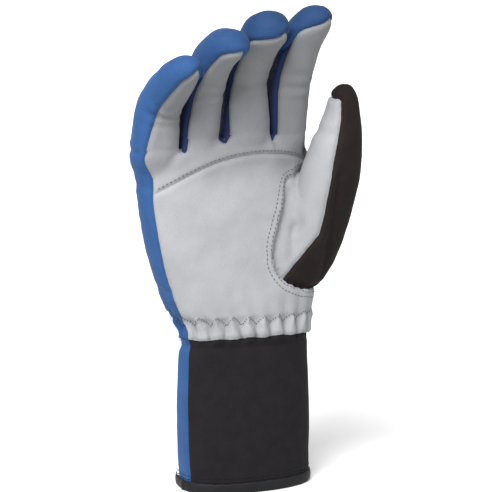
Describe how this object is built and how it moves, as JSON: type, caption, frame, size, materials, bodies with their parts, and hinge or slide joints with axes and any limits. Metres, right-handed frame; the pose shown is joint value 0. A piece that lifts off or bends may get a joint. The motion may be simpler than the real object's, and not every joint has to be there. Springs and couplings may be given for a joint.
{
  "type": "sailing glove",
  "caption": "Right-hand sailing glove with suede palm, softshell back, dark side gussets, gathered wrist and long cuff; fingers, thumb and wrist bend.",
  "frame": {"origin": "middle of the bounding box, on the plane the cuff hem stands on", "axes": "+Z from the cuff hem to the fingertips, -Y the way the palm faces, +X towards the thumb"},
  "size_m": [0.1384, 0.0698, 0.291],
  "materials": {
    "grey_suede": "matte brushed synthetic suede",
    "blue_softshell": "matte softshell knit",
    "gusset": "matte stretch fabric",
    "black_suede": "matte brushed synthetic suede",
    "white_softshell": "matte softshell knit",
    "knit": "matte ribbed knit",
    "thread": "twisted sewing thread"
  },
  "bodies": {
    "cuff": {"cuff_front_panel": "black_suede", "cuff_back_panel": "white_softshell", "cuff_side_strip": "blue_softshell", "hem_binding": "black_suede", "wrist_gather_front": "grey_suede", "wrist_gather_back": "white_softshell", "wrist_zigzag_stitch": "thread"},
    "hand": {"palm_lower_panel": "grey_suede", "palm_upper_panel": "grey_suede", "back_hand_panel": "blue_softshell", "back_wrist_panel": "white_softshell", "ulnar_side_strip": "blue_softshell", "radial_side_strip": "knit", "palm_seam_topstitch": "thread", "thumb_seam_topstitch": "thread", "thumb_root_front": "grey_suede", "thumb_root_back": "black_suede", "thumb_base_crease": "grey_suede", "little_base_crease": "grey_suede", "ring_base_crease": "grey_suede", "middle_base_crease": "grey_suede", "index_base_crease": "grey_suede"},
    "thumb": {"thumb_front_lower": "grey_suede", "thumb_back_lower": "black_suede", "thumb_knuckle_crease": "grey_suede"},
    "thumb_tip": {"thumb_front_upper": "grey_suede", "thumb_back_upper": "black_suede"},
    "little": {"little_front_lower": "grey_suede", "little_back_lower": "blue_softshell", "little_fourchette_radial_lower": "gusset", "little_knuckle_crease": "grey_suede"},
    "little_tip": {"little_front_upper": "grey_suede", "little_back_upper": "blue_softshell", "little_fourchette_radial_upper": "gusset"},
    "ring": {"ring_front_lower": "grey_suede", "ring_back_lower": "blue_softshell", "ring_fourchette_ulnar_lower": "gusset", "ring_fourchette_radial_lower": "gusset", "ring_knuckle_crease": "grey_suede"},
    "ring_tip": {"ring_front_upper": "grey_suede", "ring_back_upper": "blue_softshell", "ring_fourchette_ulnar_upper": "gusset", "ring_fourchette_radial_upper": "gusset"},
    "middle": {"middle_front_lower": "grey_suede", "middle_back_lower": "blue_softshell", "middle_fourchette_ulnar_lower": "gusset", "middle_fourchette_radial_lower": "gusset", "middle_knuckle_crease": "grey_suede"},
    "middle_tip": {"middle_front_upper": "grey_suede", "middle_back_upper": "blue_softshell", "middle_fourchette_ulnar_upper": "gusset", "middle_fourchette_radial_upper": "gusset"},
    "index": {"index_front_lower": "grey_suede", "index_back_lower": "blue_softshell", "index_fourchette_ulnar_lower": "gusset", "index_knuckle_crease": "grey_suede"},
    "index_tip": {"index_front_upper": "grey_suede", "index_back_upper": "blue_softshell", "index_fourchette_ulnar_upper": "gusset"}
  },
  "joints": [
    {"name": "wrist_bend", "type": "hinge", "parent": "cuff", "child": "hand", "pos_m": [-0.00182, 0.00785, 0.095], "axis": [1, 0, 0], "range_deg": [-25, 30], "deforming": ["wrist_gather_front", "wrist_gather_back", "wrist_zigzag_stitch"]},
    {"name": "little_base_bend", "type": "hinge", "parent": "hand", "child": "little", "pos_m": [-0.05622, 0.00685, 0.203], "axis": [1, 0, 0], "range_deg": [-12, 50], "deforming": ["little_base_crease"]},
    {"name": "little_knuckle_bend", "type": "hinge", "parent": "little", "child": "little_tip", "pos_m": [-0.05564, -0.00173, 0.22955], "axis": [0.9981, 0, -0.0617], "range_deg": [-12, 50], "deforming": ["little_knuckle_crease"]},
    {"name": "ring_base_bend", "type": "hinge", "parent": "hand", "child": "ring", "pos_m": [-0.02922, 0.00685, 0.2085], "axis": [1, 0, 0], "range_deg": [-12, 50], "deforming": ["ring_base_crease"]},
    {"name": "ring_knuckle_bend", "type": "hinge", "parent": "ring", "child": "ring_tip", "pos_m": [-0.02908, -0.00126, 0.23939], "axis": [0.9988, 0, -0.0489], "range_deg": [-12, 50], "deforming": ["ring_knuckle_crease"]},
    {"name": "middle_base_bend", "type": "hinge", "parent": "hand", "child": "middle", "pos_m": [-0.00162, 0.00685, 0.212], "axis": [1, 0, 0], "range_deg": [-12, 50], "deforming": ["middle_base_crease"]},
    {"name": "middle_knuckle_bend", "type": "hinge", "parent": "middle", "child": "middle_tip", "pos_m": [-0.00151, -0.00114, 0.24499], "axis": [0.9993, 0, -0.0385], "range_deg": [-12, 50], "deforming": ["middle_knuckle_crease"]},
    {"name": "index_base_bend", "type": "hinge", "parent": "hand", "child": "index", "pos_m": [0.02718, 0.00685, 0.21], "axis": [1, 0, 0], "range_deg": [-12, 50], "deforming": ["index_base_crease"]},
    {"name": "index_knuckle_bend", "type": "hinge", "parent": "index", "child": "index_tip", "pos_m": [0.02729, 0.00181, 0.24359], "axis": [0.9993, 0, -0.0365], "range_deg": [-12, 50], "deforming": ["index_knuckle_crease"]},
    {"name": "thumb_base_bend", "type": "hinge", "parent": "hand", "child": "thumb", "pos_m": [0.04444, -0.00675, 0.172], "axis": [-0.9666, 0, 0.2562], "range_deg": [-30, 0], "deforming": ["thumb_base_crease"]},
    {"name": "thumb_knuckle_bend", "type": "hinge", "parent": "thumb", "child": "thumb_tip", "pos_m": [0.05307, -0.01124, 0.207], "axis": [-0.2725, 0.9502, 0.151], "range_deg": [-45, 10], "deforming": ["thumb_knuckle_crease"]}
  ]
}
